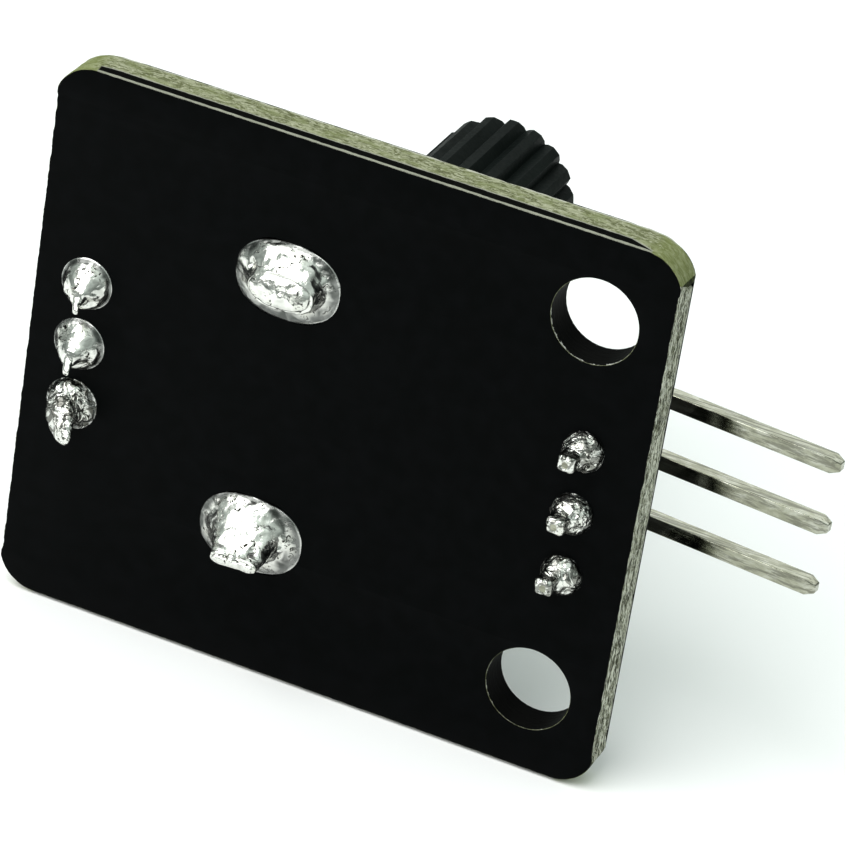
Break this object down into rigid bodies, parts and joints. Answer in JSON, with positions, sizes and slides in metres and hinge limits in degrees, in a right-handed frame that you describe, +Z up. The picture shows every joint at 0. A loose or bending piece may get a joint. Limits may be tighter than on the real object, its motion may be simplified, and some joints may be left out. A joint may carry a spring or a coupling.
{
  "type": "rotary encoder module",
  "caption": "Rotary encoder with a threaded bushing and knurled shaft, soldered to a small black circuit board with a bent pin header and mounting holes.",
  "frame": {"origin": "on the shaft axis, on the face of the encoder cover where the threaded bushing starts", "axes": "+Y along the shaft to its knob end, +X along the board to the pin header, +Z up with the board standing on its long edge"},
  "size_m": [0.0298, 0.0243, 0.022],
  "materials": {
    "laminate": "cut glass-epoxy, olive, fibrous edge",
    "solder_mask": "black solder mask, smooth",
    "copper": "copper foil",
    "silkscreen": "white ink",
    "tinned_copper": "tinned copper",
    "solder": "bright solder, slightly dulled in places",
    "header_plastic": "black moulded plastic",
    "pin_metal": "tin-plated brass, drawn",
    "cover_steel": "tin-plated sheet steel",
    "bushing_zinc": "die-cast zinc, threaded",
    "base_plastic": "black moulded plastic",
    "contact_metal": "silver-plated brass",
    "spring_steel": "spring steel",
    "rotor_plastic": "natural acetal plastic",
    "shaft_plastic": "black moulded plastic, fine knurl"
  },
  "bodies": {
    "board": {"board_laminate": "laminate", "solder_mask_rear": "solder_mask", "solder_mask_front": "solder_mask", "front_tracks": "copper", "silkscreen_front": "silkscreen", "plated_terminal_holes": "tinned_copper", "plated_lug_slots": "tinned_copper", "plated_header_holes": "tinned_copper", "solder_terminal_a": "solder", "solder_terminal_common": "solder", "solder_terminal_b": "solder", "solder_lug_upper": "solder", "solder_lug_lower": "solder", "solder_header_1": "solder", "solder_header_2": "solder", "solder_header_3": "solder", "header_block": "header_plastic", "header_pin_1": "pin_metal", "header_pin_2": "pin_metal", "header_pin_3": "pin_metal", "encoder_cover": "cover_steel", "bushing": "bushing_zinc", "encoder_base": "base_plastic", "terminal_a": "contact_metal", "terminal_common": "contact_metal", "terminal_b": "contact_metal", "detent_spring": "spring_steel"},
    "rotor": {"shaft": "shaft_plastic", "rotor": "rotor_plastic", "code_disc": "contact_metal", "retaining_ring": "spring_steel"}
  },
  "joints": [
    {"name": "shaft_turn", "type": "hinge", "parent": "board", "child": "rotor", "pos_m": [0, 0, 0], "axis": [0, 1, 0], "continuous": true}
  ]
}
